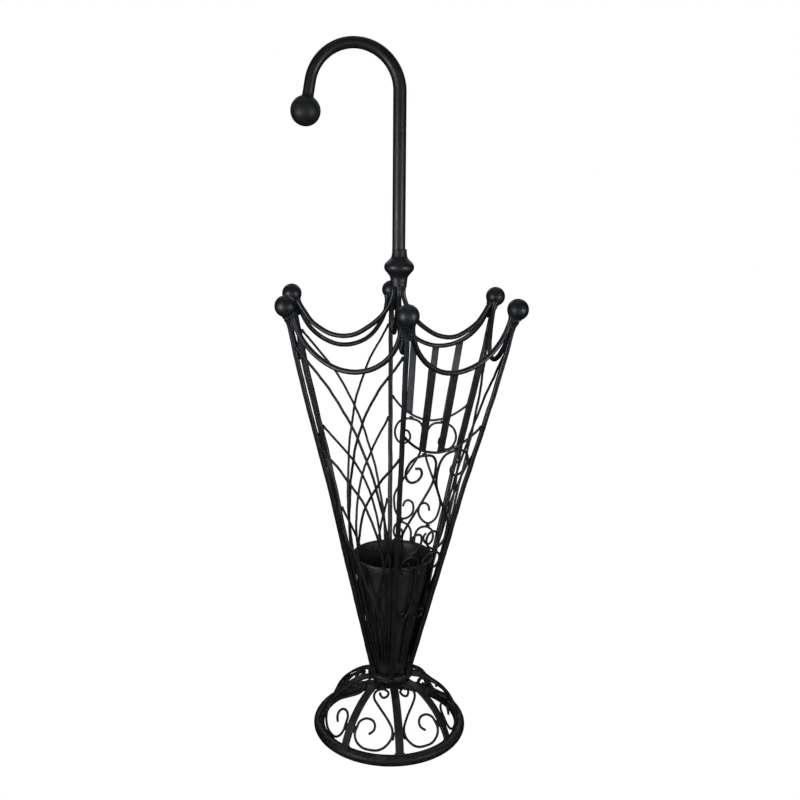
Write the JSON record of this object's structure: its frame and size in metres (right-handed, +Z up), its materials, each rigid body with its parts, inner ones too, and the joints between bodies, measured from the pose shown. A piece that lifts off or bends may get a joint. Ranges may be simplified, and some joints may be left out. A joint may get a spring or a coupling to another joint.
{
  "type": "umbrella stand",
  "caption": "Wrought-metal umbrella stand shaped like a half-open upside-down umbrella with a crook handle, openwork scroll panels, an inner cup and a domed openwork foot.",
  "frame": {"origin": "centre of the foot ring, on the floor", "axes": "+Z up along the handle's pole, -Y the front with one rib straight ahead, -X the side the crook opens to"},
  "size_m": [0.275, 0.3138, 0.8266],
  "materials": {
    "black_paint": "satin black powder coat on steel"
  },
  "bodies": {
    "root": {"foot_ring": "black_paint", "foot_bar_1": "black_paint", "foot_bar_2": "black_paint", "foot_bar_3": "black_paint", "foot_bar_4": "black_paint", "foot_bar_5": "black_paint", "foot_bar_6": "black_paint", "foot_bar_7": "black_paint", "foot_bar_8": "black_paint", "foot_scroll_1": "black_paint", "foot_scroll_2": "black_paint", "foot_scroll_3": "black_paint", "foot_scroll_4": "black_paint", "foot_scroll_5": "black_paint", "foot_scroll_6": "black_paint", "foot_scroll_7": "black_paint", "foot_scroll_8": "black_paint", "foot_hub": "black_paint", "cup": "black_paint", "rib_1": "black_paint", "rib_2": "black_paint", "rib_3": "black_paint", "rib_4": "black_paint", "rib_5": "black_paint", "rib_6": "black_paint", "rim_ball_1": "black_paint", "rim_ball_2": "black_paint", "rim_ball_3": "black_paint", "rim_ball_4": "black_paint", "rim_ball_5": "black_paint", "rim_ball_6": "black_paint", "rim_swag_1": "black_paint", "rim_swag_2": "black_paint", "rim_swag_3": "black_paint", "rim_swag_4": "black_paint", "rim_swag_5": "black_paint", "rim_swag_6": "black_paint", "hanger_1": "black_paint", "hanger_2": "black_paint", "hanger_3": "black_paint", "hanger_4": "black_paint", "collar": "black_paint", "handle": "black_paint", "handle_ball": "black_paint", "reed_panel_1": "black_paint", "reed_panel_2": "black_paint", "reed_panel_3": "black_paint", "bar_panel_1": "black_paint", "bar_panel_2": "black_paint", "bar_panel_3": "black_paint", "scroll_left_1": "black_paint", "scroll_left_2": "black_paint", "scroll_left_3": "black_paint", "scroll_right_1": "black_paint", "scroll_right_2": "black_paint", "scroll_right_3": "black_paint", "scroll_stem_1": "black_paint", "scroll_stem_2": "black_paint", "scroll_stem_3": "black_paint"}
  },
  "joints": []
}
